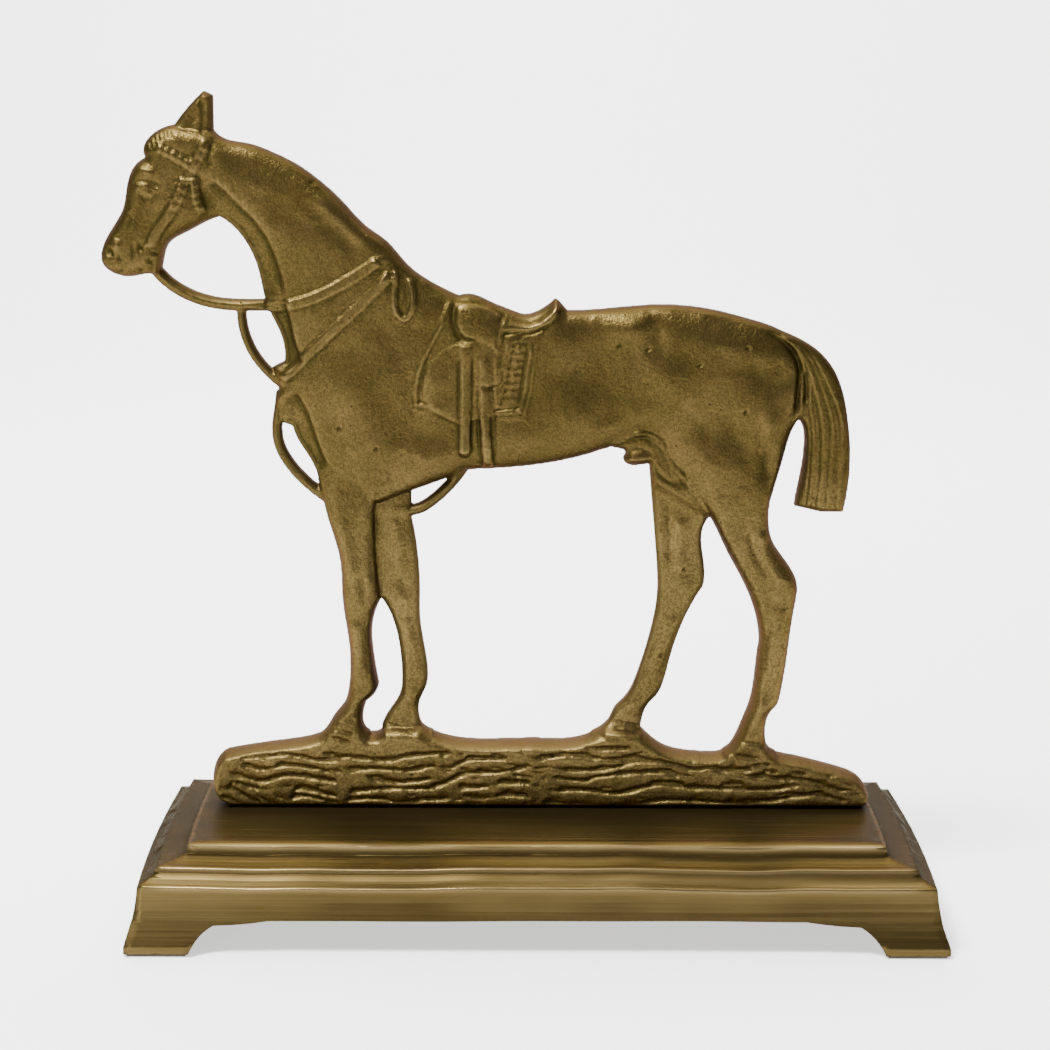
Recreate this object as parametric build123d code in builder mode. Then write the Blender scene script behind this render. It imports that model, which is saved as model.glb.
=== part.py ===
"""Bronze racehorse statuette: a saddled horse cast in one with its log, screwed to a hollow stepped plinth.

Frame: +X towards the tail, +Y towards the back, +Z up. The origin is under the middle of the whole
object, on the surface that it stands on. Millimetres throughout.
"""
import os

from build123d import *

# ---------------------------------------------------------------- driving dimensions
# Plinth
plinth_length = 336.6
plinth_depth = 146.4
plinth_height = 38.5
plinth_wall = 4.6
end_bow = 2.0
top_plate = 5.0

# Stepped moulding: how far each edge stands in from the foot, and how far below the top it is
nose_3_inset, nose_3_drop = 5.6, 12.1
groove_2_inset, groove_2_drop = 12.3, 8.5
nose_2_inset, nose_2_drop = 12.7, 6.4
groove_1_inset, groove_1_drop = 24.2, 4.3
nose_1_inset, nose_1_drop = 24.6, 0.9
flat_top_inset = 30.0
upright_height = 3.0
flare_bow = 1.0
tread_3_dip = 0.9
tread_2_dip = 0.5
nose_radius = 0.8

# Bracket feet
foot_width = 26.0
arch_reach, arch_height = 10.0, 11.2
arch_bow = 1.3
arch_easing = 2.5
ease_reach, ease_height = 22.0, 2.0
ease_bow = 0.3

# Felt pads
pad_thickness = 1.2
pad_inset = 1.1

# Horse and log
figure_height = 301.5
body_thickness = 19.0
leg_thickness = 12.5
tail_thickness = 15.0
flank_thickness = 13.0
ear_thickness = 12.0
strap_thickness = 8.0
figure_setback = 8.0
cast_edge = 1.2
tack_relief = 0.8
double_relief = 1.5

# Fixings
screw_diameter = 6.0
screw_clearance = 0.3
screw_length = 25.0
screw_chamfer = 0.6
head_across_flats, head_height = 10.0, 4.0
screw_spacing = 180.0
tapped_extra = 3.0
plain_washer_diameter, plain_washer_thickness = 12.0, 1.6
spring_washer_diameter, spring_washer_thickness = 11.0, 1.6
spring_washer_gap = 1.2

# The figure's drawing: the height and reach that it is drawn at, and its base line
drawing_base = 38.5
drawing_height = 301.5
drawing_muzzle = 180.0

# ---------------------------------------------------------------- worked-out places
scale = figure_height / drawing_height
plinth_top = pad_thickness + plinth_height
half_length = plinth_length / 2
half_depth = plinth_depth / 2
foot_reach = half_length - end_bow
bow_radius = (half_depth**2 + end_bow**2) / (2 * end_bow)
widest_reach = half_length - (half_depth - foot_width) ** 2 / (2 * bow_radius)
half_body = body_thickness / 2
leg_offset = (body_thickness - leg_thickness) / 2
centre_x = (drawing_muzzle * scale - widest_reach) / 2
hole_diameter = screw_diameter + 2 * screw_clearance

stack_top = plinth_top - top_plate
plain_washer_bottom = stack_top - plain_washer_thickness
spring_washer_bottom = plain_washer_bottom - spring_washer_thickness
screw_bottom = spring_washer_bottom - head_height
hole_depth = spring_washer_bottom + screw_length + tapped_extra - plinth_top

os.makedirs("parts", exist_ok=True)


def upright(y):
    """The plane at y that the figure is drawn on, its origin on the plinth's top, facing the front."""
    return Plane(origin=(centre_x, y, plinth_top), x_dir=(1, 0, 0), z_dir=(0, -1, 0))


def drawn(*points):
    """Points of the figure's drawing, scaled and measured from the top of the plinth."""
    return [(x * scale, (z - drawing_base) * scale) for x, z in points]


def slab(start, *stretches, thickness=body_thickness, forward=0.0, rim=None):
    """A slab of the figure from its outline, `forward` of the middle plane; `rim` softens its two rims.

    Each stretch goes on from the last one: one point makes a straight line, more make a smooth curve.
    """
    with BuildPart() as piece:
        with BuildSketch(upright(figure_setback - forward)):
            with BuildLine():
                here = start
                for stretch in stretches:
                    if len(stretch) == 1:
                        Line(*drawn(here, *stretch))
                    else:
                        Spline(*drawn(here, *stretch))
                    here = stretch[-1]
            make_face()
        extrude(amount=thickness / 2, both=True)
        if rim:
            rim(piece.faces().filter_by(Axis.Y).edges(), cast_edge * scale)
    return piece.part


def strap(width, *points, thickness=body_thickness + 2 * tack_relief):
    """A flat strap through the middle plane, along a smooth curve, standing proud on both faces."""
    with BuildPart() as piece:
        with BuildSketch(upright(figure_setback)):
            with BuildLine():
                Spline(*drawn(*points))
            trace(line_width=width * scale)
        extrude(amount=thickness / 2, both=True)
    return piece.part


# ---------------------------------------------------------------- horse casting: body
head_and_trunk = slab(
    (-133, 324.2),
    [(-128, 320.6), (-119, 318.9), (-110, 315.8), (-100, 311), (-90, 304), (-80, 294.8), (-71, 285.3),
     (-63, 279.6), (-54, 269.5), (-43, 261.8), (-33, 257)],
    [(-28, 257.6), (-18.5, 253.8), (-11, 250.9), (-6, 249.3), (-1, 250.4), (6.8, 255.9)],
    [(8.4, 255)],
    [(12, 250.9)],
    [(25, 251.5), (50, 253.5), (75, 250.9), (88, 247.5), (100, 243.2), (108, 236), (110, 222), (108.5, 206)],
    [(106.6, 203), (103, 191.5), (99.5, 178.5), (97.5, 171)],
    [(71.5, 166)],
    [(64, 176.5), (56, 187), (50, 197.5), (43, 200), (34, 196), (27, 193)],
    [(8, 187.8), (-12, 185.2), (-30, 184.2)],
    [(-43.5, 178.6), (-54, 174.8), (-66, 170)],
    [(-90, 171)],
    [(-92, 180)],
    [(-93, 184.5), (-98.5, 194), (-102.3, 202.5)],
    [(-106.5, 204)],
    [(-108.5, 212), (-107.5, 219.5)],
    [(-110, 227.2)],
    [(-105.2, 229.6)],
    [(-107.5, 243), (-112.5, 254), (-115, 265.5), (-122, 281.3), (-131, 289.2)],
    [(-136, 287.3), (-144, 283), (-152.3, 277.8), (-155, 269), (-156.5, 264.8)],
    [(-161, 265.6), (-167.7, 264.4), (-173.5, 265.2), (-179.5, 270), (-178.5, 278.5), (-170.3, 293),
     (-168.6, 302), (-164.5, 310.7), (-160.9, 313)],
    [(-161.6, 316), (-156.5, 323.5), (-148.8, 326.3)],
    [(-133, 324.2)])
flank = slab(
    (26, 195),
    [(35.5, 193)],
    [(36.3, 190.7), (35.6, 189), (37, 187), (40, 186.2), (46.5, 187)],
    [(47.5, 179)],
    [(72, 164)],
    [(80, 190)], [(45, 210)], [(26, 195)],
    thickness=flank_thickness)
ear = slab(
    (-150, 321), [(-148.8, 326.3)], [(-145, 331.3), (-136.6, 340)], [(-132.9, 338.2)], [(-132.9, 319)], [(-150, 321)],
    thickness=ear_thickness, rim=chamfer)
tail = slab(
    (98, 232),
    [(100, 243.2)],
    [(110, 238.7), (118, 233), (123, 226.5), (129, 207), (130.6, 187), (128.2, 166.8)],
    [(119, 166.6)],
    [(107.6, 169.3)],
    [(108.7, 176), (111.3, 197), (110.4, 203), (108.5, 206)],
    [(98, 232)],
    thickness=tail_thickness, rim=chamfer)

# ---------------------------------------------------------------- horse casting: legs
near_foreleg = slab(
    (-92, 180),
    [(-90, 171), (-88, 163), (-83, 144), (-82.5, 131), (-79.5, 107), (-79.3, 98), (-80, 90), (-82.3, 82.6),
     (-86, 78), (-89, 73), (-92.5, 69)],
    [(-92.5, 62)], [(-71, 62)], [(-71, 70.3)],
    [(-73, 72), (-73.7, 80), (-72.3, 84.5)],
    [(-68.5, 88), (-67.2, 91.5)],
    [(-68.3, 97.5), (-69.5, 106), (-70, 115), (-68.5, 123), (-65.8, 129.3)],
    [(-67, 140), (-68, 158), (-66.5, 178)],
    [(-92, 180)],
    thickness=leg_thickness, forward=leg_offset, rim=fillet)
far_foreleg = slab(
    (-53, 178),
    [(-53, 163.5)],
    [(-50.2, 145), (-49.6, 132), (-49.6, 120), (-46.4, 98), (-46.8, 91.5), (-49.6, 85), (-50.3, 78),
     (-48.8, 73.3), (-44, 70.8)],
    [(-44, 62)], [(-66, 62)], [(-66, 73.5)],
    [(-62.5, 80), (-58.5, 86.5), (-57.3, 95), (-57.8, 104), (-62, 122.5), (-65.8, 129.3)],
    [(-72, 140)], [(-74, 178)], [(-53, 178)],
    thickness=leg_thickness, forward=-leg_offset, rim=fillet)
near_hind_leg = slab(
    (99.5, 178.5),
    [(97.5, 171), (97, 163), (98.5, 155), (103.5, 147), (108.3, 139.8), (109.7, 135.5), (109, 127), (105.7, 100),
     (103.6, 86.5)],
    [(102.6, 83.3)],
    [(99.8, 80.2), (98.1, 76), (97.7, 69), (98.8, 64.5), (102.5, 62)],
    [(102.5, 58)], [(79.5, 58)], [(79.5, 62.3)],
    [(83, 65.5), (87, 74), (90.3, 82.5), (92.3, 93), (93, 101), (94.2, 110.5)],
    [(93, 120), (90, 129.5), (85, 140), (80, 149), (75, 159.5), (71.5, 165.8), (60, 181), (50, 196)],
    [(99.5, 178.5)],
    thickness=leg_thickness, forward=leg_offset, rim=fillet)
far_hind_leg = slab(
    (46.5, 187),
    [(47.3, 178), (50.2, 146), (50.7, 131), (48.8, 118), (42.6, 96), (38.8, 87.3), (35, 82.8)],
    [(32.6, 80), (30.6, 75.5), (27.5, 72.3), (23, 70)],
    [(23, 60)], [(44.3, 60)], [(44.3, 72.8)],
    [(45.5, 79), (47.5, 83.2), (51, 87), (54, 93.5), (56.5, 103.5), (65, 126.3), (70, 134.7)],
    [(70.6, 140.5), (69.2, 151), (69.3, 159), (71.5, 163.8)],
    [(80, 185)], [(52, 192)], [(46.5, 187)],
    thickness=leg_thickness, forward=-leg_offset, rim=fillet)

# ---------------------------------------------------------------- horse casting: log
log = slab(
    (-130, drawing_base),
    [(-135.5, 41), (-138, 45), (-138.5, 51), (-136.5, 58), (-133, 61.5)],
    [(-125, 63), (-112, 65), (-99, 67), (-92, 69.2), (-87, 72)],
    [(-72.5, 71.5)],
    [(-70.5, 69.3), (-68, 69.8), (-65.5, 73)],
    [(-49, 73.3)],
    [(-43, 69.5), (-36, 67.3), (-28, 66.2), (0, 66.5), (13, 66.5), (20, 68), (29, 73.5)],
    [(44.5, 72.3)],
    [(50, 67), (56, 63.3), (63, 61.5), (70, 60.8), (78, 61), (84, 66)],
    [(97.6, 66)],
    [(98.8, 63), (104, 60.6), (112, 59), (122, 56.5), (131, 54), (138.5, 50.3), (141.5, 46), (142.5, 42.5),
     (140, drawing_base)],
    [(-130, drawing_base)],
    rim=chamfer)

# ---------------------------------------------------------------- horse casting: tack
reins = [
    strap(4.8, (-157.5, 267), (-152.3, 261.8), (-144.5, 257), (-134, 253.7), (-125, 252.8), (-112, 252.8),
          thickness=strap_thickness),
    strap(4.8, (-113, 252.8), (-105, 253), (-95, 255.5), (-85, 259.8), (-75, 265.5), (-66, 271.5)),
    strap(2.4, (-58.8, 268), (-59.2, 261), (-59.3, 254), (-57.5, 249.5), (-55.2, 248), (-52.5, 251), (-51.4, 256),
          (-53, 264))]
martingale = [
    strap(3.8, (-122.8, 252), (-122.2, 243.5), (-120.2, 237), (-117, 231), (-112, 225), (-106.5, 220),
          thickness=strap_thickness),
    strap(4.2, (-107, 217), (-107.8, 210), (-108.9, 202), (-108.3, 195.5), (-105.8, 189.5), (-102, 184),
          (-98, 179.7), (-93, 175.3), (-87, 171), thickness=strap_thickness),
    strap(4.4, (-67, 168), (-56, 166.6), (-50, 167.4), (-45, 170.2), (-39, 175.5), (-34, 181), (-30, 187),
          thickness=strap_thickness)]
breast_strap = strap(4.2, (-105.5, 222.5), (-95, 233), (-85, 242.5), (-77.5, 249.5), (-67.5, 259), (-61, 266))
bridle = [
    strap(3.6, (-155, 317.3), (-147, 313.2), (-140.5, 309.3)),
    strap(4.0, (-141.5, 308), (-137.5, 315.5), (-134.8, 321)),
    strap(4.4, (-144, 305), (-147, 297), (-151, 290), (-155.5, 284), (-158.5, 277)),
    strap(3.4, (-140.3, 305), (-139.2, 297), (-137, 291))]

saddle_cloth = slab(
    (-37, 256),
    [(-41, 247), (-46, 238), (-51, 228), (-53, 219), (-52.5, 211)],
    [(-50.5, 209)], [(-5, 206.3)],
    [(-3.3, 215), (-1.5, 228), (0, 238), (2, 243.5)],
    [(-37, 256)],
    thickness=body_thickness + tack_relief)
saddle_flap = slab(
    (-34, 238),
    [(-41, 234), (-46, 228), (-48, 220), (-46.5, 213.5), (-40, 207.5), (-33, 204.7)],
    [(-19, 208)],
    [(-15.5, 214), (-13, 224), (-11.5, 234), (-6, 243)],
    [(-34, 238)],
    thickness=body_thickness + 2 * tack_relief)
saddle_skirt = slab(
    (-33, 254.5),
    [(-34, 249), (-32.5, 243.5), (-30, 240.5)],
    [(-25, 239.5), (-20, 237.5), (-17, 234)],
    [(-13.2, 247.5)], [(-19, 252)],
    [(-25, 254), (-33, 254.5)],
    thickness=body_thickness + 2 * double_relief)
saddle_seat = slab(
    (-14.5, 247),
    [(-9, 246), (-3, 246), (3, 249.5), (7, 254)],
    [(8.6, 253)],
    [(6, 248), (1, 244.5), (-6, 242.5)],
    [(-15, 243)], [(-14.5, 247)],
    thickness=body_thickness + 2 * double_relief)
girth = [
    strap(4.8, (-30, 237), (-30.2, 220), (-30.5, 191), thickness=body_thickness + 2 * double_relief),
    strap(4.0, (-23, 232), (-22.5, 215), (-20.8, 185.5), thickness=body_thickness + 2 * double_relief)]

# ---------------------------------------------------------------- horse casting, with its tapped holes
with BuildPart() as horse_casting:
    add(log)
    add([head_and_trunk, flank, ear, tail])
    add([near_foreleg, far_foreleg, near_hind_leg, far_hind_leg])
    add(reins + martingale + bridle + [breast_strap])
    add([saddle_cloth, saddle_flap, saddle_skirt, saddle_seat] + girth)
    with BuildSketch(Plane(origin=(centre_x, figure_setback, plinth_top))):
        with GridLocations(screw_spacing, 1, 2, 1):
            Circle(hole_diameter / 2)
    extrude(amount=hole_depth, mode=Mode.SUBTRACT)
horse_casting.part.label = "horse_casting"
export_step(horse_casting.part, "parts/horse_casting.step")


# ---------------------------------------------------------------- plinth
def facing(x, y):
    """The upright plane through the plinth's middle, drawn with its first axis towards (x, y)."""
    return Plane(origin=(centre_x, 0, 0), x_dir=(x, y, 0), z_dir=(y, -x, 0))


def stepped_side(reach, top, bottom):
    """The section of a block with one stepped side, `reach` from the middle, and plain past the middle."""
    upright = (reach, pad_thickness + upright_height)
    nose_3 = (reach - nose_3_inset, top - nose_3_drop)
    groove_2 = (reach - groove_2_inset, top - groove_2_drop)
    nose_2 = (reach - nose_2_inset, top - nose_2_drop)
    groove_1 = (reach - groove_1_inset, top - groove_1_drop)
    nose_1 = (reach - nose_1_inset, top - nose_1_drop)
    flat_top = (reach - flat_top_inset, top)
    with BuildSketch() as section:
        with BuildLine():
            Polyline(flat_top, (-plinth_length, top), (-plinth_length, bottom), (reach, bottom), upright)
            SagittaArc(upright, nose_3, flare_bow)
            SagittaArc(nose_3, groove_2, tread_3_dip)
            Line(groove_2, nose_2)
            SagittaArc(nose_2, groove_1, tread_2_dip)
            Line(groove_1, nose_1)
            TangentArc(flat_top, nose_1, tangent=(1, 0))
        make_face()
        fillet([v for v in section.vertices() if (v.X, v.Y) in (nose_3, nose_2)], nose_radius)
    return section.sketch


def arch(reach):
    """The opening between two bracket feet whose outer edges are `reach` either side of the middle."""
    foot = (reach - foot_width, pad_thickness)
    spring = (foot[0] - arch_reach, pad_thickness + arch_height)
    crown = (spring[0] - ease_reach, spring[1] + ease_height)
    with BuildSketch() as opening:
        with BuildLine():
            Polyline((0, crown[1]), (0, 0), (foot[0], 0), foot)
            SagittaArc(foot, spring, -arch_bow)
            SagittaArc(spring, crown, ease_bow)
            Line(crown, (0, crown[1]))
        make_face()
        fillet([v for v in opening.vertices() if (v.X, v.Y) == spring], arch_easing)
        mirror(about=Plane.YZ)
    return opening.sketch


def stepped_block(inset, top, bottom):
    """A block stepped on all four sides, mitred at the corners, with its two ends bowed outwards."""
    with BuildPart() as block:
        with BuildSketch(facing(0, -1)):
            add(stepped_side(half_depth - inset, top, bottom))
        extrude(amount=plinth_length, both=True)
        with BuildSketch(facing(0, 1)):
            add(stepped_side(half_depth - inset, top, bottom))
        extrude(amount=plinth_length, both=True, mode=Mode.INTERSECT)
        for end in (-1, 1):
            bow_axis = Axis((centre_x + end * (half_length - bow_radius), 0, 0), (0, 0, 1))
            with BuildSketch(facing(end, 0)):
                add(stepped_side(half_length - inset, top, bottom))
            revolve(axis=bow_axis, mode=Mode.INTERSECT)
    return block.part


with BuildPart() as plinth:
    add(stepped_block(0, plinth_top, pad_thickness))
    add(stepped_block(plinth_wall, plinth_top - top_plate, 0), mode=Mode.SUBTRACT)
    with BuildSketch(facing(1, 0)):
        add(arch(foot_reach))
    extrude(amount=plinth_depth, both=True, mode=Mode.SUBTRACT)
    with BuildSketch(facing(0, 1)):
        add(arch(half_depth))
    extrude(amount=plinth_length, both=True, mode=Mode.SUBTRACT)
    with BuildSketch(Plane(origin=(centre_x, figure_setback, plinth_top))):
        with GridLocations(screw_spacing, 1, 2, 1):
            Circle(hole_diameter / 2)
    extrude(amount=-top_plate, mode=Mode.SUBTRACT)
plinth.part.label = "plinth"
export_step(plinth.part, "parts/plinth.step")

# ---------------------------------------------------------------- felt pads, one under each bracket foot
pad_length = foot_width - 2 * pad_inset
pad_width = plinth_wall - 2 * pad_inset
for end, x_side in (("left", -1), ("right", 1)):
    for face, y_side in (("front", -1), ("rear", 1)):
        corner_x = centre_x + x_side * (foot_reach - pad_inset)
        corner_y = y_side * (half_depth - pad_inset)
        with BuildPart() as felt_pad:
            with BuildSketch():
                with BuildLine():
                    Polyline((corner_x, corner_y),
                             (corner_x - x_side * pad_length, corner_y),
                             (corner_x - x_side * pad_length, corner_y - y_side * pad_width),
                             (corner_x - x_side * pad_width, corner_y - y_side * pad_width),
                             (corner_x - x_side * pad_width, corner_y - y_side * pad_length),
                             (corner_x, corner_y - y_side * pad_length), close=True)
                make_face()
            extrude(amount=pad_thickness)
        felt_pad.part.label = f"felt_pad_{face}_{end}"
        export_step(felt_pad.part, f"parts/felt_pad_{face}_{end}.step")

# ---------------------------------------------------------------- screws and washers, from under the top plate
for place, side in (("fore", -1), ("hind", 1)):
    screw_x = centre_x + side * screw_spacing / 2

    with BuildPart() as fixing_screw:
        with BuildSketch(Plane(origin=(screw_x, figure_setback, screw_bottom))):
            RegularPolygon(head_across_flats / 2, 6, major_radius=False)
        extrude(amount=head_height)
        chamfer(fixing_screw.faces().sort_by(Axis.Z)[0].edges(), screw_chamfer)
        with BuildSketch(Plane(origin=(screw_x, figure_setback, spring_washer_bottom))):
            Circle(screw_diameter / 2)
        extrude(amount=screw_length)
        chamfer(fixing_screw.faces().sort_by(Axis.Z)[-1].edges(), screw_chamfer)
    fixing_screw.part.label = f"fixing_screw_{place}"
    export_step(fixing_screw.part, f"parts/fixing_screw_{place}.step")

    with BuildPart() as spring_washer:
        with BuildSketch(Plane(origin=(screw_x, figure_setback, spring_washer_bottom))):
            Circle(spring_washer_diameter / 2)
            Circle(hole_diameter / 2, mode=Mode.SUBTRACT)
            with Locations((spring_washer_diameter / 2, 0)):
                Rectangle(spring_washer_diameter, spring_washer_gap, mode=Mode.SUBTRACT)
        extrude(amount=spring_washer_thickness)
    spring_washer.part.label = f"spring_washer_{place}"
    export_step(spring_washer.part, f"parts/spring_washer_{place}.step")

    with BuildPart() as plain_washer:
        with BuildSketch(Plane(origin=(screw_x, figure_setback, plain_washer_bottom))):
            Circle(plain_washer_diameter / 2)
            Circle(hole_diameter / 2, mode=Mode.SUBTRACT)
        extrude(amount=plain_washer_thickness)
    plain_washer.part.label = f"plain_washer_{place}"
    export_step(plain_washer.part, f"parts/plain_washer_{place}.step")
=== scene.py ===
"""Looks of the bronze racehorse statuette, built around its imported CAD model.

The horse and its log are worked as one casting. Each face is a field of heights over the casting's middle
plane: an outline with drafted walls, crowned levels, and worked relief for muscles, tack, hair and bark.
Heights and drawing coordinates are in millimetres, x from the plinth's centre and z up from the foot.
"""
import math

import bmesh
import bpy
import numpy as np
from mathutils import Matrix, Vector
from mathutils.bvhtree import BVHTree


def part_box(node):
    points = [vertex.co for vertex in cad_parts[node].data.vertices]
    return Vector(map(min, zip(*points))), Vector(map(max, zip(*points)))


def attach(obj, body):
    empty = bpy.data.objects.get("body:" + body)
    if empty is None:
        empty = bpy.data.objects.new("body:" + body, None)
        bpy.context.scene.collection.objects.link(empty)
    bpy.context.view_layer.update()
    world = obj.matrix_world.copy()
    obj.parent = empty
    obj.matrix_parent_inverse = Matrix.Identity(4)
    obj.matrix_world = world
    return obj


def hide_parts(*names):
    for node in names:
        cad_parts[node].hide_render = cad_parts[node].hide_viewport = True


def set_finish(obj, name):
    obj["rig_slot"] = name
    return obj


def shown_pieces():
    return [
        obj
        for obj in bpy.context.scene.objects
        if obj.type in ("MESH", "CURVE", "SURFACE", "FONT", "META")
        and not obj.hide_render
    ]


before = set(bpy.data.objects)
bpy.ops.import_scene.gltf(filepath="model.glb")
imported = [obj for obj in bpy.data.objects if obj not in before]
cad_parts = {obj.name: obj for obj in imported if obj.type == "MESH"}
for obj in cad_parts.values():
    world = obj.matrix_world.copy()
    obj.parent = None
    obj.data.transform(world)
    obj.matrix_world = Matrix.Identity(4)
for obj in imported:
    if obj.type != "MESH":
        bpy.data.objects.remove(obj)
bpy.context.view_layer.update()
MM = 0.001

plinth_low, plinth_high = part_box("plinth")
casting_low, casting_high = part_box("horse_casting")
centre_x = (plinth_low.x + plinth_high.x) / 2
foot_z = plinth_low.z
middle_y = (casting_low.y + casting_high.y) / 2
scene = bpy.context.scene

# ---------------------------------------------------------------- grid of the drawing plane
CELL = 0.35
MARGIN = 2.5
X_START = (casting_low.x - centre_x) / MM - MARGIN
Z_START = (casting_low.z - foot_z) / MM - MARGIN
X, Z = np.meshgrid(
    np.arange(X_START, (casting_high.x - centre_x) / MM + MARGIN, CELL),
    np.arange(Z_START, (casting_high.z - foot_z) / MM + MARGIN, CELL),
)
BODY_LEVEL = 9.5
SEAM = 2.2
LOG_TOP = 66.0


def levels_of_casting():
    """How far the CAD casting stands out in front of, and behind, its middle plane at each cell."""
    shape = bmesh.new()
    shape.from_mesh(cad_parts["horse_casting"].data)
    ray = BVHTree.FromBMesh(shape).ray_cast
    shape.free()
    xs = (X[0] * MM + centre_x).tolist()
    zs = (Z[:, 0] * MM + foot_z).tolist()
    front, back = np.zeros(X.shape), np.zeros(X.shape)
    for row, z in enumerate(zs):
        for column, x in enumerate(xs):
            hit = ray((x, -0.1, z), (0, 1, 0))[0]
            if hit:
                front[row, column] = (middle_y - hit[1]) / MM
                back[row, column] = (ray((x, 0.1, z), (0, -1, 0))[0][1] - middle_y) / MM
    return front, back


def shifted(field, rows, columns):
    """The field moved by whole cells, its edge cells repeated."""
    down = np.clip(np.arange(field.shape[0]) - rows, 0, field.shape[0] - 1)
    across = np.clip(np.arange(field.shape[1]) - columns, 0, field.shape[1] - 1)
    return field[down][:, across]


def blurred(field, reach):
    """The field smoothed by a bell curve of that many millimetres."""
    cells = reach / CELL
    steps = np.arange(-math.ceil(2.5 * cells), math.ceil(2.5 * cells) + 1)
    weights = np.exp(-0.5 * (steps / cells) ** 2)
    weights /= weights.sum()
    for axis in (0, 1):
        field = sum(w * shifted(field, *((s, 0) if axis == 0 else (0, s))) for s, w in zip(steps, weights))
    return field


def spread(field, reach):
    """The field with each cell raised to the highest within that many millimetres, each way."""
    steps = range(-round(reach / CELL), round(reach / CELL) + 1)
    for axis in (0, 1):
        field = np.maximum.reduce([shifted(field, *((s, 0) if axis == 0 else (0, s))) for s in steps])
    return field


def inward(mask, most):
    """How far inside the mask's outline each cell lies, up to `most` millimetres."""
    cells = int(most / CELL) + 1
    run = np.where(mask, float(cells), 0.0)
    for columns in (range(1, mask.shape[1]), range(mask.shape[1] - 2, -1, -1)):
        step = 1 if columns.step > 0 else -1
        for c in columns:
            run[:, c] = np.minimum(run[:, c], run[:, c - step] + 1)
    square = run**2
    for s in range(-cells, cells + 1):
        square = np.minimum(square, shifted(run, s, 0) ** 2 + s * s)
    return blurred(np.maximum(np.sqrt(square) - 0.5, 0) * CELL, CELL)


def ramp(value, low, high):
    """0 below `low`, 1 above `high`, and smooth between them."""
    t = np.clip((value - low) / (high - low), 0, 1)
    return t * t * (3 - 2 * t)


def cloudy(size, seed):
    """A smooth random field from -1 to 1, whose lumps are about that many millimetres across."""
    draw = np.random.default_rng(seed)
    coarse = draw.uniform(-1, 1, (int(X.shape[0] * CELL / size) + 3, int(X.shape[1] * CELL / size) + 3))
    row, column = (Z - Z_START) / size, (X - X_START) / size
    r, c = row.astype(int), column.astype(int)
    u, v = ramp(row - r, 0, 1), ramp(column - c, 0, 1)
    top = coarse[r, c] * (1 - v) + coarse[r, c + 1] * v
    bottom = coarse[r + 1, c] * (1 - v) + coarse[r + 1, c + 1] * v
    return top * (1 - u) + bottom * u


# ---------------------------------------------------------------- hand tools that work the relief
def eased(points):
    """A smooth line through the points."""
    points = np.array(points, float)
    if len(points) < 3:
        return points
    ends = np.vstack([2 * points[0] - points[1], points, 2 * points[-1] - points[-2]])
    line = []
    for a, b, c, d in zip(ends[:-3], ends[1:-2], ends[2:-1], ends[3:]):
        for t in np.linspace(0, 1, 5)[:-1]:
            line.append(0.5 * (2 * b + (c - a) * t + (2 * a - 5 * b + 4 * c - d) * t**2
                               + (3 * b - a - 3 * c + d) * t**3))
    return np.array([*line, points[-1]])


def around(points, reach):
    """The patch of the grid near a line: its slices, and each cell's distance, side and share of the way."""
    line = eased(points)
    low, high = line.min(0) - reach, line.max(0) + reach
    patch = (
        slice(max(int((low[1] - Z_START) / CELL), 0), max(int((high[1] - Z_START) / CELL) + 1, 0)),
        slice(max(int((low[0] - X_START) / CELL), 0), max(int((high[0] - X_START) / CELL) + 1, 0)),
    )
    x, z = X[patch], Z[patch]
    nearest, side, along = np.full(x.shape, 1e9), np.zeros(x.shape), np.zeros(x.shape)
    travelled = 0.0
    for a, b in zip(line[:-1], line[1:]):
        way = b - a
        length = float(np.hypot(*way))
        t = np.clip(((x - a[0]) * way[0] + (z - a[1]) * way[1]) / length**2, 0, 1)
        off_x, off_z = x - a[0] - t * way[0], z - a[1] - t * way[1]
        distance = np.hypot(off_x, off_z)
        closer = distance < nearest
        nearest = np.where(closer, distance, nearest)
        side = np.where(closer, np.sign(way[0] * off_z - way[1] * off_x), side)
        along = np.where(closer, travelled + t * length, along)
        travelled += length
    return patch, nearest, side, along / travelled


def line_cut(field, points, width, depth, ends=0.12):
    """A round-bottomed groove along a line, running out at both ends. A negative depth makes a ridge."""
    patch, distance, _, along = around(points, 3 * width)
    fade = np.clip(np.minimum(along, 1 - along) / ends, 0.15, 1) if ends else 1
    field[patch] -= depth * np.exp(-((distance / width) ** 2)) * fade


def step_down(field, points, drop, reach, edge=0.8, right=True):
    """The ground to one side of a line, lowered by `drop` at the line and rising back over `reach`."""
    patch, distance, side, along = around(points, 2.2 * reach)
    fade = ramp(along, 0, 0.12) * ramp(1 - along, 0, 0.12)
    signed = distance * side * (-1 if right else 1)
    field[patch] -= drop * fade * ramp(signed, -edge, edge) * np.exp(-((np.maximum(signed, 0) / reach) ** 2))


def swell(field, x, z, half_x, half_z, height, turn=0.0):
    """A soft oval lump, or a hollow where the height is negative."""
    c, s = math.cos(math.radians(turn)), math.sin(math.radians(turn))
    u, v = (X - x) * c + (Z - z) * s, (Z - z) * c - (X - x) * s
    field += height * np.exp(-((u / half_x) ** 2 + (v / half_z) ** 2))


def dint(field, x, z, size, depth):
    """A small sharp casting pit."""
    patch, distance, _, _ = around([(x, z), (x + size * 0.4, z)], 3 * size)
    field[patch] -= depth * np.exp(-((distance / size) ** 4))


# ---------------------------------------------------------------- outlines, levels and walls
cad_front, cad_back = levels_of_casting()
inside = cad_front > 0
edge = inward(inside, 16)

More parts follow.
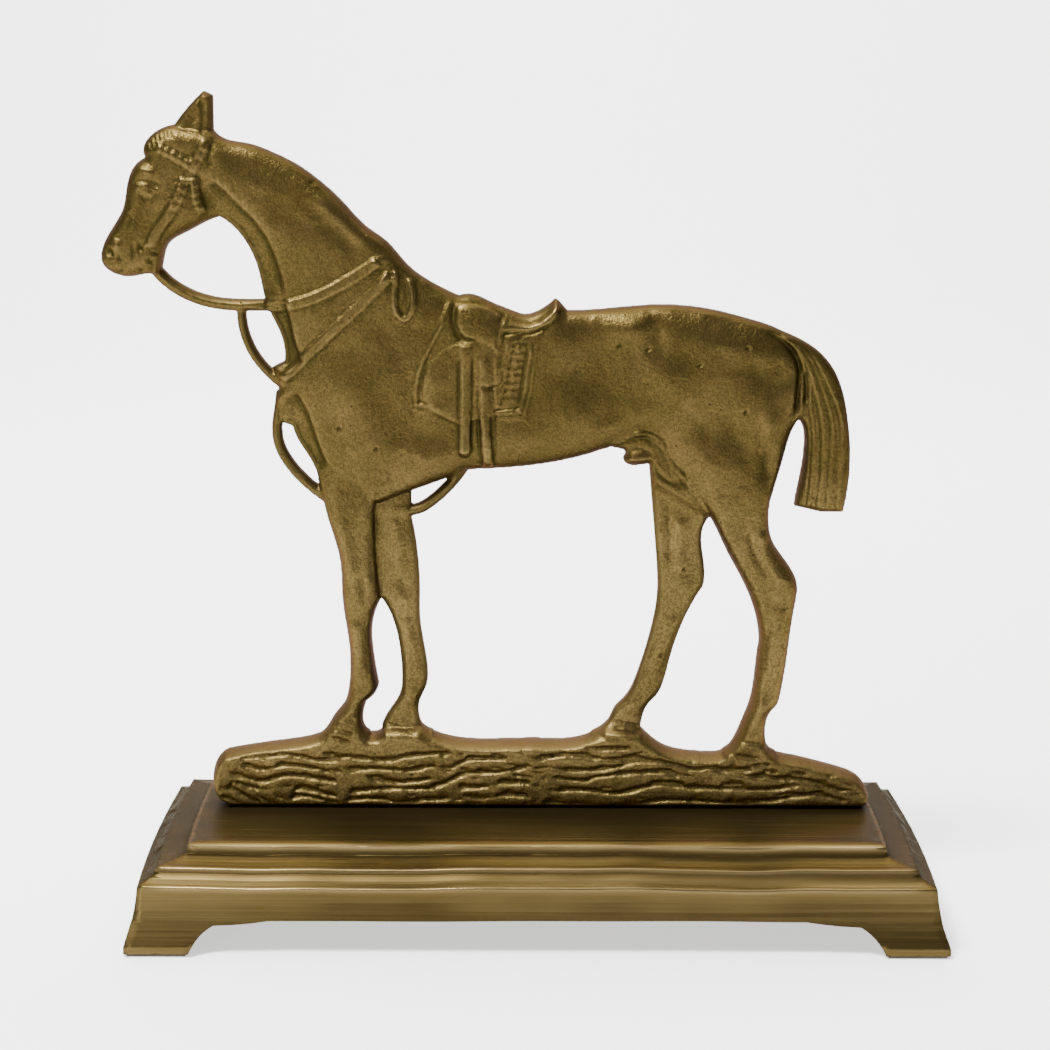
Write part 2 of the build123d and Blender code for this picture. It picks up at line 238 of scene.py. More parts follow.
# How broad the crown is from the wall to the level: broad on the trunk, tight on legs, tack and log
on_head = ramp(-X, 118, 140) * ramp(Z, 250, 270)
crown = 4.0 + 11.0 * ramp(Z, 160, 200) - 8.0 * on_head
on_log = ramp(-Z, -LOG_TOP - 3, -LOG_TOP + 3)
crown -= 1.5 * on_log

# How much of the level is side wall: little on the rounded trunk, most on the log
on_legs = ramp(-Z, -165, -145) * (1 - on_log)
wall_share = 0.4 + 0.3 * on_log


def crowned(depth, level, crown):
    """Height over the middle plane: a drafted wall up from the parting seam, then a crown onto the level."""
    wall = wall_share * level
    draft = 0.15 * wall
    rise = np.clip(depth / np.maximum(draft, 0.1), 0, 1)
    crest = np.clip((depth - 0.6 * draft) / crown, 0, 1)
    return SEAM + np.maximum(wall - SEAM, 0) * rise + (level - wall) * np.sqrt(1 - (1 - crest) ** 2)


def worked_base(level):
    """One face of the casting before its relief: the trunk, and behind it what the CAD sets further back."""
    proud = inside & (level > BODY_LEVEL - 1.35)
    behind = inside & ~proud
    level = blurred(np.where(behind, level, spread(np.where(behind, level, 0), 3)), 1.4)
    set_back = np.where(inside, crowned(edge, level, np.minimum(crown, 3.0)), 0)
    depth = inward(proud, 16)
    trunk = np.where(proud, crowned(depth, BODY_LEVEL, crown), 0)
    # Painted shade: the set-back ground is darkened close under the trunk's wall, and this goes into the hollow
    # tone
    shade = np.where(behind, np.exp(-((inward(~proud, 6) / 1.3) ** 2)), 0) * ramp(edge, 0.8, 2.5)
    return np.maximum(set_back, trunk), shade


(front, front_shade), (back, back_shade) = worked_base(cad_front), worked_base(cad_back)

# ---------------------------------------------------------------- relief of the horse's body
form = np.zeros(X.shape)

LUMP_LIFT, HOLLOW_DEPTH, JOINT_LIFT = 2.6, 2.0, 1.7
for lump in (
    (-88, 297, 20, 7, 0.7, -42), (-70, 281, 12, 5, 0.5, -45), (-98, 283, 17, 11, 0.4, -45),
    (-76, 214, 16, 13, 0.9, -30), (-63, 228, 14, 10, 0.4, 30), (-74, 196, 13, 9, 0.7, 30),
    (-48, 190, 13, 7, 0.5, 10), (-15, 198, 16, 8, 0.4, 5), (12, 209, 16, 9, 0.5, 10),
    (38, 245, 9, 5, 0.6, 12), (54, 223, 13, 7, 0.5, -38), (66, 230, 16, 10, 0.3, -20),
    (86, 212, 13, 15, 0.5, 70), (78, 238, 17, 5, 0.3, -18), (97, 200, 4, 14, 0.7, 8),
    (74, 188, 9, 12, 0.7, 30), (92, 176, 6, 12, 0.3, 5), (30, 203, 9, 4, 0.3, 15),
):
    swell(form, *lump[:4], LUMP_LIFT * lump[4], lump[5])
for hollow in (
    (-92, 302, 16, 3.5, -0.7, -30), (-70, 287, 16, 3, -0.5, -45), (-104, 292, 12, 6, -0.5, -40),
    (-52, 214, 5, 13, -0.4, 10), (-60, 205, 7, 9, -0.4, 30), (48, 242, 4, 8, -0.7, 0),
    (25, 235, 10, 9, -0.6, 20), (28, 218, 9, 10, -0.5, 30), (12, 226, 13, 8, -0.3, 0),
    (-8, 217, 9, 5, -0.3, 0), (70, 206, 8, 10, -0.5, 30), (60, 199, 9, 7, -0.4, 40),
    (85, 196, 5, 13, -0.5, 15), (94, 190, 2.6, 13, -0.6, 12), (-90, 232, 12, 6, -0.4, 40),
    (40, 232, 5, 7, -0.4, -30), (92, 226, 8, 6, -0.3, -30), (-40, 200, 7, 5, -0.3, 0),
):
    swell(form, *hollow[:4], HOLLOW_DEPTH * hollow[4], hollow[5])

# Windpipe, throat and the lower ground in front of the neck and chest
THROAT = [(-137, 306), (-130, 301), (-126, 297), (-122, 293), (-117, 288), (-112, 281), (-109, 274),
          (-106.5, 266), (-104.5, 257)]
step_down(form, THROAT, 2.2, 13, edge=1.5)
line_cut(form, THROAT, 1.3, 0.7)
step_down(form, [(-104.5, 257), (-102.5, 246), (-100.5, 237), (-97, 229)], 2.8, 9, edge=1.3)
line_cut(form, [(-103, 250), (-101.2, 240), (-98.5, 232)], 1.2, 0.5)
line_cut(form, [(-139, 308), (-137, 300), (-132, 292)], 2.2, 0.6)
# Mane: its lower edge, and the crest above it
line_cut(form, [(-131, 312), (-118, 309), (-106, 304), (-94, 295), (-82, 283), (-72, 273)], 3.2, 0.55)
line_cut(form, [(-134, 320), (-133, 316), (-134.5, 314), (-133, 309)], 0.8, 0.8)
line_cut(form, [(-124, 316), (-112, 313), (-100, 306.5), (-88, 297.5), (-76, 285.5), (-67, 277)], 3.0, -0.35)
# Chest and shoulder planes
step_down(form, [(-101, 219), (-97, 212), (-94.5, 206), (-92, 198), (-89.5, 191), (-86.5, 186)], 2.6, 13, 1.2)
step_down(form, [(-88.5, 189), (-84, 184.5), (-77, 179.5), (-68, 174.5)], 1.0, 9, 1.2)
line_cut(form, [(-88, 188), (-80, 181.5), (-74, 178), (-67, 175)], 1.2, 0.3)
line_cut(form, [(-67, 172), (-66, 178), (-62.5, 184), (-58, 190.5), (-54, 194)], 1.8, 0.8)
step_down(form, [(-66, 174), (-63, 182), (-57, 189), (-50, 193)], 0.7, 8, 1.5)
line_cut(form, [(-104, 224), (-96, 212), (-94, 203)], 2.4, 0.4)
# Flank, stifle and thigh
FLANK = [(32, 195), (38, 199), (44, 200.6), (49, 199), (52.5, 195), (56, 188), (60, 182.5), (66, 174.5),
         (72, 165)]
line_cut(form, FLANK, 1.6, -0.5)
line_cut(form, [(30, 193), (37, 197.3), (44, 198.6), (49.5, 195)], 0.9, 0.5)
# Buttock edge and the channel in front of the tail
line_cut(form, [(93, 243), (99, 240), (103.5, 236), (106.5, 231), (108, 226), (107.5, 219),
                (107, 208)], 1.1, 1.6)
line_cut(form, [(96, 236), (101.5, 232), (104, 226), (104, 218), (103, 207), (100, 196)], 2.6, -0.5)
line_cut(form, [(110, 227), (111, 220), (110.5, 213)], 1.0, 1.8)
line_cut(form, [(98.5, 216), (97.2, 205), (95.5, 194), (92, 180)], 2.0, 0.6)

# ---------------------------------------------------------------- relief of the legs
for bone in (
    [(-82, 165), (-79.5, 150), (-77, 138)], [(-77.5, 122), (-75.5, 108), (-74.6, 95)],
    [(-60, 165), (-58.5, 150), (-57, 138)], [(-55.5, 122), (-52.5, 108), (-51.8, 97)],
    [(93, 160), (97, 146), (103, 137)], [(103, 128), (100, 112), (98, 96)],
    [(60, 165), (60, 150), (61, 140)], [(59, 124), (54, 110), (49, 97), (45, 90)],
):
    line_cut(form, bone, 2.8, -1.0)
for tendon in (
    [(-72.3, 124), (-72.2, 110), (-71.5, 98)], [(-70.5, 160), (-70, 148), (-69.5, 138)],
    [(-53.5, 120), (-50, 106), (-49.4, 97)], [(-62.5, 118), (-58.5, 106), (-57.5, 96)],
    [(106, 126), (103, 110), (101, 94)], [(97.5, 122), (96.5, 110), (95, 98)],
    [(52, 122), (48, 108), (43, 94)], [(66, 130), (60, 116), (55, 102), (51, 92)],
    [(54, 172), (55, 158), (55.5, 146)], [(87, 160), (92, 148), (97, 140)],
    [(98.5, 168), (100, 156), (105, 146)],
):
    line_cut(form, tendon, 1.4, 0.75)
for joint in (
    (-75.5, 131, 5, 7, 0.6), (-57, 131, 5, 7, 0.6), (-75, 86, 4, 4.5, 0.7), (-53, 87, 4, 4.5, 0.6),
    (103, 136, 4, 6, 0.6), (60.5, 135, 6, 6, 0.5), (95.5, 83, 4, 4.5, 0.6), (41, 83, 4, 4.5, 0.6),
    (-85, 73, 5, 3, 0.4), (-60, 73, 5, 3, 0.4), (91, 67, 5, 3, 0.4), (36, 72, 5, 3, 0.4),
):
    swell(form, *joint[:4], JOINT_LIFT * joint[4])
for recess in (
    (-73, 134, 1.5, 5.5, -1.0), (-57, 136, 2.2, 5.5, -0.6, 25), (-52.5, 102, 1.2, 5, -0.6),
    (-78.5, 96, 1.5, 8, -0.3), (62, 144, 2, 4, -0.4), (104, 143, 1.6, 4, -0.5, -30), (-79, 78, 4, 1.5, -0.5),
):
    swell(form, *recess)
for hoof_line in (
    [(-90, 75), (-84, 73), (-77, 70.5)], [(-92, 71), (-86, 69.5), (-79, 67.5)],
    [(-66, 76), (-59, 73.3), (-51, 71.3)], [(83, 69), (90, 68), (98, 66.5)], [(81, 63.5), (88, 61.8), (95, 61)],
    [(30, 76), (37, 75), (46, 73)], [(26, 70.5), (31, 69.5), (38, 69)],
):
    line_cut(form, hoof_line, 0.7, 0.8)
line_cut(form, [(48, 187.5), (50.5, 183.2), (56, 179.5), (64, 178)], 0.9, 0.8)
swell(form, 41, 190, 4, 2.2, 1.0, 10)
line_cut(form, [(37, 193), (42, 194), (47.5, 192)], 0.9, 0.6)

# ---------------------------------------------------------------- relief of the head
swell(form, -166, 305, 5, 8, 0.5, -20)
swell(form, -147, 294, 8, 9, 0.9, 60)
swell(form, -171, 286, 4, 11, 0.5, -25)
line_cut(form, [(-155, 305), (-160, 294), (-164, 284)], 2.4, 0.6)
line_cut(form, [(-166, 309), (-161, 308.5), (-156.5, 306)], 2.2, -0.8)
line_cut(form, [(-164, 299), (-163, 301), (-161.5, 302.2), (-158, 301.7), (-155, 299.8)], 0.7, -0.7)
line_cut(form, [(-165, 303.2), (-161.5, 304.2), (-157.5, 303.8), (-154, 301)], 0.9, 0.4)
line_cut(form, [(-162.3, 298.6), (-160.3, 296.9), (-157.8, 296.6), (-155.8, 298.4)], 0.7, 0.6)
swell(form, -159, 299.2, 2.1, 1.8, 1.1)
swell(form, -156, 298.6, 1.2, 0.9, -0.5)
for crease in (
    [(-177, 278.5), (-175.8, 276), (-173.3, 273.2)], [(-171.8, 274.5), (-171, 271)],
    [(-173, 281), (-170.3, 281.5)], [(-169, 268.8), (-171.8, 266.8), (-175, 266.3)],
    [(-163.6, 268.5), (-162, 266.8)],
    [(-165.7, 280.3), (-165.7, 271.5)], [(-163.6, 280.3), (-162.6, 274.5)],
    [(-168.5, 283.5), (-166.5, 287), (-165.8, 292)],
):
    line_cut(form, crease, 0.75, 0.85, ends=0.3)
swell(form, -175.5, 274.6, 1.4, 1.8, -1.4, 30)
swell(form, -172.5, 277.5, 2.4, 1.7, 0.7, -40)
swell(form, -174.5, 269, 3.2, 2, 0.6)
swell(form, -162.8, 276.8, 1.2, 1.8, -0.7)
line_cut(form, [(-158.5, 274), (-155.6, 272), (-154.2, 269.8), (-155.6, 267.4), (-158, 265.5)], 0.9, -0.7)
line_cut(form, [(-160.5, 273), (-158, 270), (-159, 267)], 0.8, 0.7)
# Ear: a raised rim round its shell
line_cut(form, [(-147.5, 327.5), (-143.5, 331.5), (-136.8, 338.5), (-134.6, 337.5), (-134, 331),
                (-134.2, 324)], 0.9, -0.5)
swell(form, -139.5, 329.5, 2.6, 5.5, -1.1, -38)
step_down(form, [(-138.5, 337.5), (-137.2, 330), (-137.8, 322)], 0.9, 3, 0.6, right=False)
# Forelock curls
for k in range(8):
    foot_x, foot_height = -163.4 + 1.75 * k, 315.5 + 7.2 * math.sin(0.2 * k)
    curl = [(foot_x, foot_height + 3.5), (foot_x + 1.6, foot_height + 3.0), (foot_x + 2.6, foot_height - 2.0)]
    line_cut(form, curl, 0.55, 0.8, ends=0.2)

# ---------------------------------------------------------------- relief of the tail
for k in range(14):
    share = (k + 0.4 + 0.35 * math.sin(2.1 * k)) / 14
    broad = k % 2
    strand = [(101 + 3 * share, 237 + 4 * share), (107.5 + 7 * share, 228 + 7 * share),
              (110.2 + 18.6 * share, 208),
              (111.1 + 18.6 * share + 0.5 * math.sin(1.7 * k), 188), (109.2 + 18.8 * share, 166)]
    line_cut(form, strand, 0.9 if broad else 0.5, 0.7 if broad else 0.4, ends=0.05)
    line_cut(form, [(x + 0.9, z) for x, z in strand[1:]], 0.8, -0.3, ends=0.1)

# ---------------------------------------------------------------- relief of the saddle and its cloth
CLOTH_FRONT = [(-40, 247), (-45, 238), (-49.8, 228), (-51.6, 219.5), (-51.4, 212.2)]
CLOTH_REAR = [(-7.2, 209.2), (-5.2, 216), (-3.4, 228), (-2, 237)]
for inset, depth in ((-0.6, 0.6), (1.0, -0.55), (2.4, 0.6)):
    line_cut(form, [(x + inset, z) for x, z in CLOTH_FRONT], 0.5, depth, ends=0.03)
    line_cut(form, [(x - inset, z) for x, z in CLOTH_REAR], 0.5, depth, ends=0.03)
    line_cut(form, [(-51.4 + inset, 212 + 0.8 * inset), (-46.5, 211.2 + inset)], 0.5, depth, ends=0)
    line_cut(form, [(-18, 208.2 + inset), (-7.2 - 0.5 * inset, 209.2 + inset)], 0.5, depth, ends=0)
# A plain fret of short bars between two fine lines stands on the rear of the cloth
for k in range(9):
    level = 214.5 + 3.1 * k
    left = -14.6 + 0.16 * (level - 214)
    line_cut(form, [(left, level), (left + 5.2, level + 0.4)], 0.45, -0.5, ends=0)
    if k % 2:
        line_cut(form, [(left + 2.6, level - 1.5), (left + 2.8, level + 1.9)], 0.45, -0.4, ends=0)
line_cut(form, [(-15.6, 213), (-12.5, 226), (-10, 240)], 0.45, 0.35, ends=0)
line_cut(form, [(-8.2, 213.5), (-6.5, 226), (-4.6, 239)], 0.45, 0.35, ends=0)
line_cut(form, [(-32.8, 233), (-33, 220), (-33, 204)], 0.7, 0.8, ends=0.1)
line_cut(form, [(-27.4, 234), (-27.4, 215), (-28, 193)], 0.7, 0.7, ends=0.1)
line_cut(form, [(-18.7, 233), (-18.6, 215), (-17.4, 200), (-18.2, 187)], 0.6, 0.6, ends=0.1)
line_cut(form, [(-25, 222), (-25, 205), (-24, 188)], 0.5, 0.5, ends=0.1)
line_cut(form, [(-24.5, 221), (-20, 220), (-15.5, 222), (-14.5, 228)], 0.6, 0.8)
swell(form, -19.5, 226.5, 4, 5.5, 0.7)
swell(form, -30.5, 192.5, 3, 2.4, 0.6)
swell(form, -42, 219, 5, 9, 0.8, 15)
swell(form, -43, 211.5, 5, 2.5, 0.5, -25)
swell(form, -24, 247, 7, 4.5, 0.5, 0)
line_cut(form, [(-14.8, 250), (-16.6, 243), (-17.5, 235.5)], 0.9, 0.9)
line_cut(form, [(-13, 243.6), (-5, 242.8), (2.5, 244.6)], 0.9, 0.8)
line_cut(form, [(-14.5, 242), (-14.2, 236), (-16, 229)], 0.7, 0.6)
line_cut(form, [(-35, 254.5), (-35.4, 248), (-33.5, 242), (-30, 239)], 0.9, 0.8)
line_cut(form, [(-26, 189), (-20, 186), (-14.5, 187)], 0.8, 0.4)

# Reins: their ends gathered over the withers, the loop's neck, and where the straps join at the chest
for fold, width, height in (
    ([(-70, 268.6), (-65.5, 272), (-61.5, 272.5), (-58.8, 267.5), (-59, 261)], 1.9, 1.0),
    ([(-52.6, 262), (-54.5, 267.5), (-59, 271.5)], 1.5, 0.8),
    ([(-66, 262.5), (-62.5, 266), (-60.5, 270)], 1.6, 0.7),
    ([(-110, 252.8), (-105, 253.2), (-100, 254.2)], 2.0, 0.6),
    ([(-108, 219.5), (-104, 224), (-100, 228.5)], 1.8, 0.6),
    ([(-108, 218), (-106.5, 212), (-104, 205)], 2.2, 0.6),
):
    line_cut(form, fold, width, -height, ends=0.2)

# ---------------------------------------------------------------- bark of the log
bark = np.zeros(X.shape)
BARK = (
    [(-128, 60.2), (-113, 61.5), (-105, 62), (-92, 59.5), (-80, 61), (-64, 59.5), (-55, 61.5), (-42, 62.8),
     (-32, 63)],
    [(-126, 58), (-116, 55.5), (-105, 57.5), (-88, 55)], [(-80, 56), (-66, 56), (-55, 55.3), (-42, 57.8)],
    [(-36, 57), (-27, 60.5), (-12, 60.3)], [(-131, 54), (-121, 51), (-115, 50.5), (-105, 53), (-84, 50)],
    [(-72, 51.3), (-56, 50), (-44, 51.8)], [(-128, 50), (-118, 47)], [(-103, 46), (-99, 47.5), (-84, 43.5)],
    [(-132, 48), (-121, 42), (-117, 40.5)], [(-134, 44), (-124, 39), (-118, 38)],
    [(-78, 46.5), (-62, 47.5), (-46, 47.5), (-40, 49), (-30, 54), (-18, 54.5), (-2, 57)],
    [(-105, 42), (-100, 44), (-84, 41)], [(-83, 42), (-68, 43), (-60, 41.3), (-45, 42.5), (-36, 43)],
    [(-33, 47.5), (-20, 48.5)], [(-17, 50), (-2, 50.3)], [(-30, 44.5), (-22, 42.5)], [(-18, 44.5), (-4, 44.5)],
    [(-30, 40), (-12, 38.8)], [(0, 61), (15, 62.3), (26, 60.8), (45, 60)], [(20, 65), (40, 65)],
    [(5, 56.5), (25, 55.5), (48, 60), (66, 56), (75, 56.5), (95, 52.5), (113, 51.5), (127, 47.5), (136, 45)],
    [(5, 52.5), (20, 51), (27, 53), (50, 55), (62, 54)], [(78, 55.5), (92, 56)],
    [(3, 46), (18, 47), (35, 45.5), (50, 49), (65, 48), (96, 47.3), (113, 49)],
    [(0, 41.5), (36, 40), (55, 42.5), (80, 41.5), (100, 42.5), (118, 45), (135, 41.5)],
    [(83, 41), (97, 39.8)], [(108, 39), (125, 38), (135, 36)],
)
for furrow in BARK:
    line_cut(bark, furrow, 1.05, 1.0, ends=0.08)
    line_cut(bark, [(x, z - 1.7) for x, z in furrow], 1.2, -0.45, ends=0.1)
draw = np.random.default_rng(11)
BARK_GROOVES, CASTING_PITS = 170, 130
for _ in range(BARK_GROOVES):
    x, z = draw.uniform(-126, 130), draw.uniform(39, 64)
    run = draw.uniform(4, 13)
    tilt = draw.uniform(-0.1, 0.1) - 0.25 * (x < -112)
    middle = (x + run / 2, z + tilt * run + draw.uniform(-0.5, 0.5))
    line_cut(bark, [(x, z), middle, (x + run, z + 2 * tilt * run)],
             draw.uniform(0.4, 0.7), draw.uniform(0.3, 0.8), ends=0.3)
below_top = ramp(-Z, -LOG_TOP, -LOG_TOP + 5)
bark += 0.25 * cloudy(2.2, 6) * below_top
bark += 0.35 * cloudy(5, 3) * below_top
# The ridges' tops are worn level, and the furrows between them are steep
BARK_DEPTH, WORN_TOP = 0.95, 0.18
bark = BARK_DEPTH * (ramp(bark, -0.7, -0.12) - 1) + WORN_TOP * bark
form += bark * ramp(edge, 0.8, 2.5)

# ---------------------------------------------------------------- cast skin: unevenness and pits
form += 0.28 * cloudy(9, 1) + 0.11 * cloudy(3.2, 2) + 0.06 * cloudy(1.2, 5)
for x, z in ((85.5, 210.3), (86, 236.7), (61.5, 142.2), (-82.5, 202.7), (-67.3, 194.2), (52.4, 105), (6.5, 62),
             (-92.5, 303.5), (33, 237.2), (45, 236), (66.5, 229.5)):
    dint(form, x, z, 0.75, 0.9)
for _ in range(CASTING_PITS):
    dint(form, draw.uniform(-130, 120), draw.uniform(75, 300), draw.uniform(0.3, 0.5), draw.uniform(0.15, 0.4))

# ---------------------------------------------------------------- tack: pillowed, with a crease round each piece
relief = form * ramp(edge, 0.3, 2.4)


# The front girth strap's lower end is rounded off
GIRTH_X, GIRTH_Z, GIRTH_RADIUS = -30.5, 193.4, 2.3
beside_girth = (np.abs(X - GIRTH_X) < 4) * (Z < GIRTH_Z) * (Z > 186)
girth_end = 1.0 - (np.hypot(X - GIRTH_X, Z - GIRTH_Z) > GIRTH_RADIUS) * beside_girth


def with_tack(face, cad_level):
    """The face with the straps and leathers that stand on it."""
    proud = np.where(inside, cad_level - BODY_LEVEL, 0) * girth_end
    for lowest, height, round_over in ((0.2, 0.5, 0.9), (0.6, 0.75, 1.7), (1.1, 0.75, 1.9)):
        piece = proud > lowest
        soft = blurred(piece.astype(float), 0.3)
        pillow = np.sqrt(np.clip(1 - (1 - np.clip(inward(piece, 3) / round_over, 0, 1)) ** 2, 0, 1))
        face = face + height * (0.35 * soft + 0.65 * pillow)
        face = face - 0.75 * height * np.clip(blurred(soft, 0.8) - soft, 0, 1) * ramp(edge, 0.5, 2)
    return face


# Bridle: the folds across its straps
keepers = np.zeros(X.shape)
for x, z, half, turn in (
    (-144.6, 303.0, 2.7, 24), (-146.2, 299.4, 2.7, 24), (-147.7, 295.8, 2.7, 26), (-149.8, 292.0, 2.7, 30),
    (-140.4, 300.6, 1.9, -8), (-139.6, 297.4, 1.9, -10), (-138.8, 294.6, 1.9, -14), (-137.6, 291.8, 1.9, -18),
    (-152.4, 316.4, 2.2, -61), (-149.8, 315.0, 2.2, -61), (-147.2, 313.4, 2.2, -60), (-144.4, 311.7, 2.2, -60),
    (-141.7, 310.2, 2.4, -58), (-139.2, 313.0, 2.3, 32), (-137.7, 316.4, 2.3, 30),
):
    c, s = math.cos(math.radians(turn)) * half, math.sin(math.radians(turn)) * half
    line_cut(keepers, [(x - c, z + s), (x + c, z - s)], 0.5, 0.42, ends=0)
relief = relief + keepers

front_detail, back_detail = with_tack(relief, cad_front), with_tack(relief, cad_back)
front = blurred(np.where(inside, np.maximum(front + front_detail, SEAM), SEAM), 0.22)
back = blurred(np.where(inside, np.maximum(back + back_detail, SEAM), SEAM), 0.22)

# ---------------------------------------------------------------- hollows, painted shade under the trunk, and worn places, for the finish
def hollowness(detail, shade):
    """How far each cell lies below the worked ground round it, with painted shade in the corners under the trunk.
    """
    near, wide, broad = [blurred(detail, reach) - detail for reach in (0.8, 2.6, 6.5)]
    tone = np.clip(0.62 * near + 0.14 * wide + 0.04 * broad + 0.35 * shade, -1, 1)
    # Weaker on the log, and weaker on the legs so that they stay painted lighter than the body
    return tone * (1 - 0.45 * on_log - 0.4 * on_legs)


tone_front, tone_back = hollowness(front_detail, front_shade), hollowness(back_detail, back_shade)


def sampled(field, x, z):
    """The field's value at each place, between its cells."""
    column = np.clip((x - X_START) / CELL, 0, X.shape[1] - 1.001)
    row = np.clip((z - Z_START) / CELL, 0, X.shape[0] - 1.001)
    c, r = column.astype(int), row.astype(int)
    u, v = column - c, row - r
    return ((field[r, c] * (1 - u) + field[r, c + 1] * u) * (1 - v)
            + (field[r + 1, c] * (1 - u) + field[r + 1, c + 1] * u) * v)


# ---------------------------------------------------------------- meshes
def places(mesh):
    """The mesh's vertices as an array, in metres."""
    flat = np.empty(len(mesh.vertices) * 3)
    mesh.vertices.foreach_get("co", flat)
    return flat.reshape(-1, 3)


def piece_of(name, shape, slot, *nodes):
    """A piece from a bmesh, riding on the body, standing for the named CAD nodes."""
    mesh = bpy.data.meshes.new(name)
    shape.to_mesh(mesh)
    shape.free()
    piece = bpy.data.objects.new(name, mesh)
    scene.collection.objects.link(piece)
    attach(piece, "root")
    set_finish(piece, slot)
    if nodes:
        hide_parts(*nodes)
    return piece


def modified(piece, kind, **settings):
    """The piece with one modifier applied to its mesh."""
    modifier = piece.modifiers.new(kind.title(), kind)
    for setting, value in settings.items():
        setattr(modifier, setting, value)
    result = bpy.data.meshes.new_from_object(piece.evaluated_get(bpy.context.evaluated_depsgraph_get()))
    piece.modifiers.remove(modifier)
    old = piece.data
    piece.data = result
    bpy.data.meshes.remove(old)
    result.name = piece.name
    return piece


def merged_copy(node):
    """A bmesh of the CAD node with its loose triangles joined up."""
    shape = bmesh.new()
    shape.from_mesh(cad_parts[node].data)
    bmesh.ops.remove_doubles(shape, verts=shape.verts, dist=0.00001)
    return shape


SLAB = 1.5
VOXEL = 0.5
MOST_TRIANGLES = 190000


def casting_blank():
    """The casting's outline as a thin slab about its middle plane, its screw holes stopped up."""
    shape = merged_copy("horse_casting")
    bmesh.ops.bisect_plane(
        shape, geom=shape.verts[:] + shape.edges[:] + shape.faces[:], dist=1e-7,
        plane_co=(0, middle_y, 0), plane_no=(0, 1, 0), clear_inner=True, clear_outer=True)
    bmesh.ops.triangle_fill(shape, edges=shape.edges[:], use_beauty=True, normal=(0, -1, 0))
    bmesh.ops.translate(shape, verts=shape.verts, vec=(0, -SLAB * MM, 0))
    grown = bmesh.ops.extrude_face_region(shape, geom=shape.faces[:])
    bmesh.ops.translate(shape, verts=[g for g in grown["geom"] if isinstance(g, bmesh.types.BMVert)],
                        vec=(0, 2 * SLAB * MM, 0))
    bmesh.ops.recalc_face_normals(shape, faces=shape.faces[:])
    for screw in ("fixing_screw_fore", "fixing_screw_hind"):
        low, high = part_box(screw)
        size = (high.x - low.x, 2 * SLAB * MM, high.z + 0.004 - casting_low.z)
        place = ((low.x + high.x) / 2, middle_y, casting_low.z + size[2] / 2)
        bmesh.ops.create_cube(shape, size=1, matrix=Matrix.Translation(place) @ Matrix.Diagonal((*size, 1)))
    return shape


def worked(piece):
    """The blank's two faces carried out to the heights of the worked front and back."""
    spots = places(piece.data)
    x, z = (spots[:, 0] - centre_x) / MM, (spots[:, 2] - foot_z) / MM
    share = np.clip(((spots[:, 1] - middle_y) / MM + SLAB) / (2 * SLAB), 0, 1)
    spots[:, 1] = middle_y + MM * ((1 - share) * -sampled(front, x, z) + share * sampled(back, x, z))
    piece.data.vertices.foreach_set("co", spots.ravel())
    piece.data.update()


def toned(piece):
    """Two values for the finish at each vertex: how hollow the place is, with the painted shade under the trunk,
    and how far down the side wall.
    """
    spots = places(piece.data)
    x, z = (spots[:, 0] - centre_x) / MM, (spots[:, 2] - foot_z) / MM
    hollow = np.where(spots[:, 1] < middle_y, sampled(tone_front, x, z), sampled(tone_back, x, z))
    depth = sampled(edge, x, z)
    values = {"hollow": hollow * ramp(depth, 0.6, 2.2), "wall": 1 - ramp(depth, 1.0, 2.0)}
    for name, value in values.items():
        piece.data.attributes.new(name, "FLOAT", "POINT").data.foreach_set("value", value.astype(np.float32))
    piece.data.shade_smooth()


casting = piece_of("horse_and_log", casting_blank(), "cast_brass", "horse_casting")
modified(casting, "REMESH", mode="VOXEL", voxel_size=VOXEL * MM, adaptivity=0.0)
worked(casting)
# The remeshed faces have four sides, so each counts as two triangles
modified(casting, "DECIMATE", ratio=MOST_TRIANGLES / (2 * len(casting.data.polygons)))
toned(casting)

# ---------------------------------------------------------------- plinth: the CAD shape with hand-finished edges
def subdivided(shape, longest):
    """Edges longer than `longest` metres are halved until none is left."""
    for _ in range(8):
        long_edges = [e for e in shape.edges if e.calc_length() > longest]
        if not long_edges:
            break
        bmesh.ops.subdivide_edges(shape, edges=long_edges, cuts=1)
        bmesh.ops.triangulate(shape, faces=[f for f in shape.faces if len(f.verts) > 3])


def waves(along, *terms):
    """A sum of slow waves: each term is a height, a wavelength and a start, in millimetres and turns."""
    return sum(height * np.sin(2 * np.pi * (along / length + start)) for height, length, start in terms)


LONGEST_EDGE = 0.0045
CREASE = math.radians(32)
plinth_shape = merged_copy("plinth")
subdivided(plinth_shape, LONGEST_EDGE)
plinth_piece = piece_of("plinth_shell", plinth_shape, "brushed_brass", "plinth")
spots = places(plinth_piece.data)
x, y, z = (spots[:, 0] - centre_x) / MM, spots[:, 1] / MM, (spots[:, 2] - foot_z) / MM
PLINTH_TOP = (plinth_high.z - foot_z) / MM
moulded = ramp(z, 14, 24) * ramp(-z, -PLINTH_TOP + 0.05, -PLINTH_TOP + 1.5)
lift = waves(x, (0.35, 171, 0.2), (0.2, 67, 0.6), (0.08, 34, 0.1)) + waves(y, (0.12, 120, 0.3))
spots[:, 2] += MM * lift * moulded
dent = waves(x, (0.22, 93, 0.4), (0.1, 37, 0.9)) * ramp(-np.abs(x), -150, -120)
spots[:, 1] += MM * dent * moulded * np.sign(y)
apron = ramp(z, 4, 8) * ramp(-z, -16, -11)
spots[:, 2] += MM * apron * waves(x, (0.35, 230, 0.05), (0.15, 71, 0.35))
plinth_piece.data.vertices.foreach_set("co", spots.ravel())
plinth_piece.data.update()
plinth_piece.data.shade_smooth()
plinth_piece.data.set_sharp_from_angle(angle=CREASE)
modified(plinth_piece, "WEIGHTED_NORMAL", keep_sharp=True)

